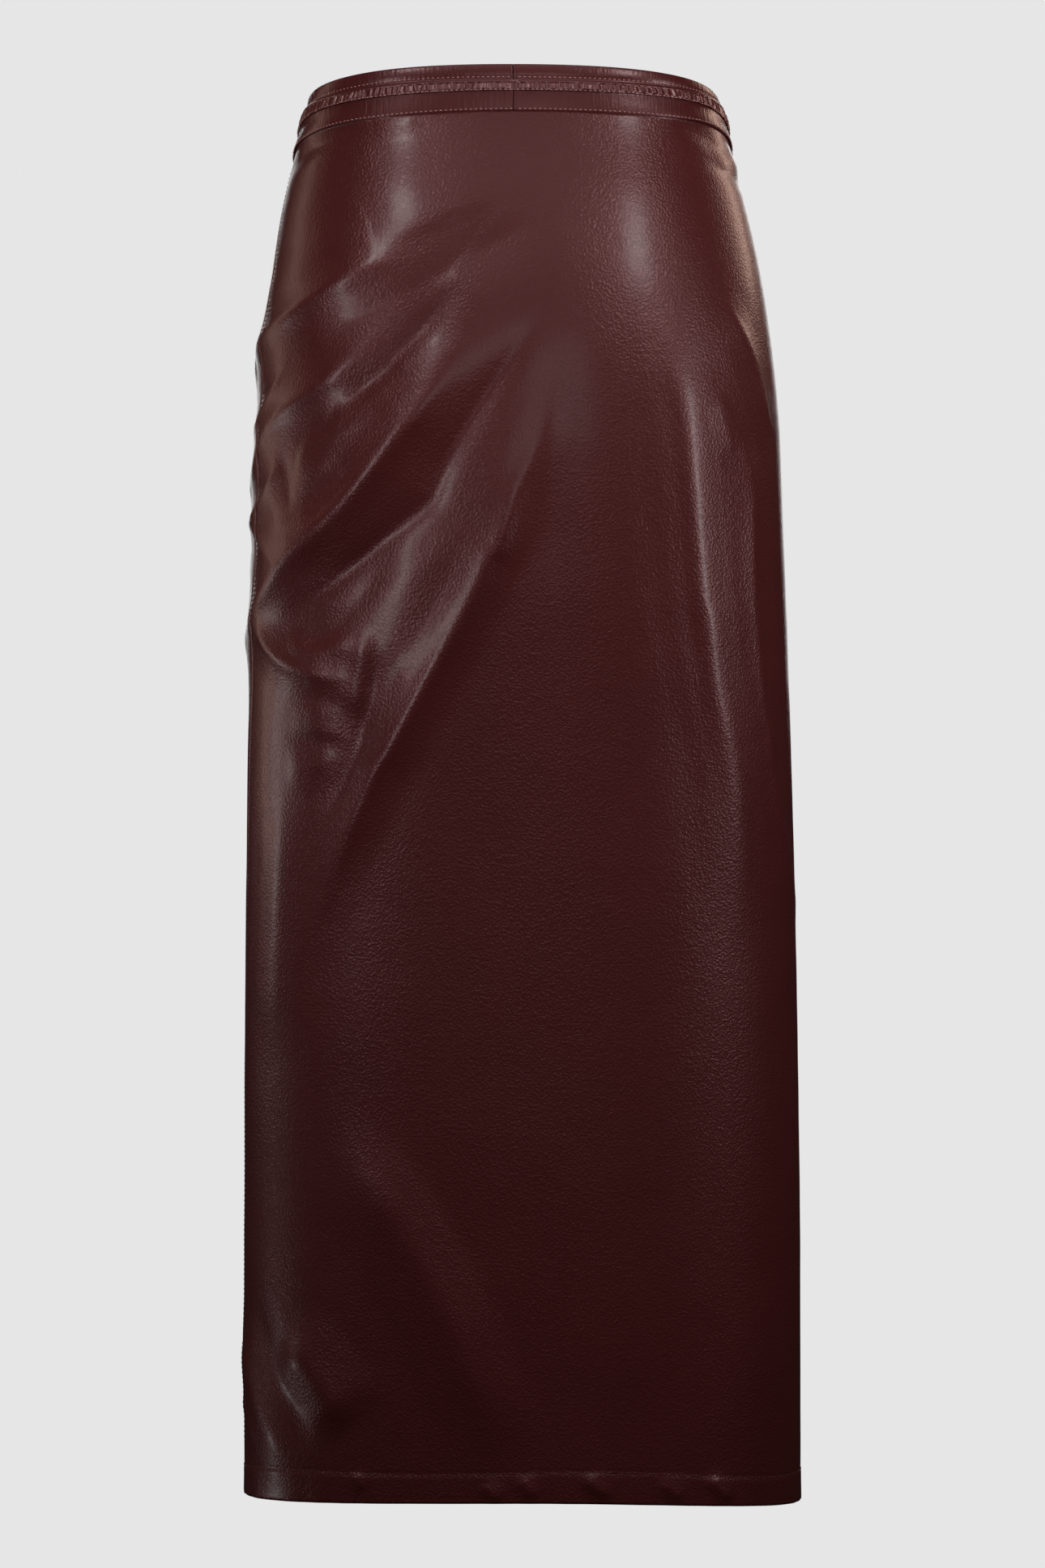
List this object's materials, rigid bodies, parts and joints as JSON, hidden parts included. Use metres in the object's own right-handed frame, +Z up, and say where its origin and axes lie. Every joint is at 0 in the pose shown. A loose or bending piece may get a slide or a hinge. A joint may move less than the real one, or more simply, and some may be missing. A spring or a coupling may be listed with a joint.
{
  "type": "leather skirt",
  "caption": "Long straight leather skirt, hollow and filled out as worn, with drapes from one side seam, a gathered strip round the waistband and a turned-up hem.",
  "frame": {"origin": "middle of the waist opening, where the wearer's waist holds the skirt", "axes": "+Z up along the wearer, -Y towards the garment's back, -X towards its left side seam as seen from behind"},
  "size_m": [0.3519, 0.242, 0.8923],
  "materials": {
    "panel_leather": "smooth oxblood leather with a satin gloss",
    "band_leather": "smooth oxblood leather, folded double",
    "strip_leather": "gathered oxblood leather with fine creases"
  },
  "bodies": {
    "root": {"panel_back": "panel_leather", "panel_front": "panel_leather", "waistband_back_left": "band_leather", "waistband_back_right": "band_leather", "waistband_front": "band_leather", "raised_strip_back_left": "strip_leather", "raised_strip_back_right": "strip_leather", "raised_strip_front": "strip_leather"}
  },
  "joints": []
}
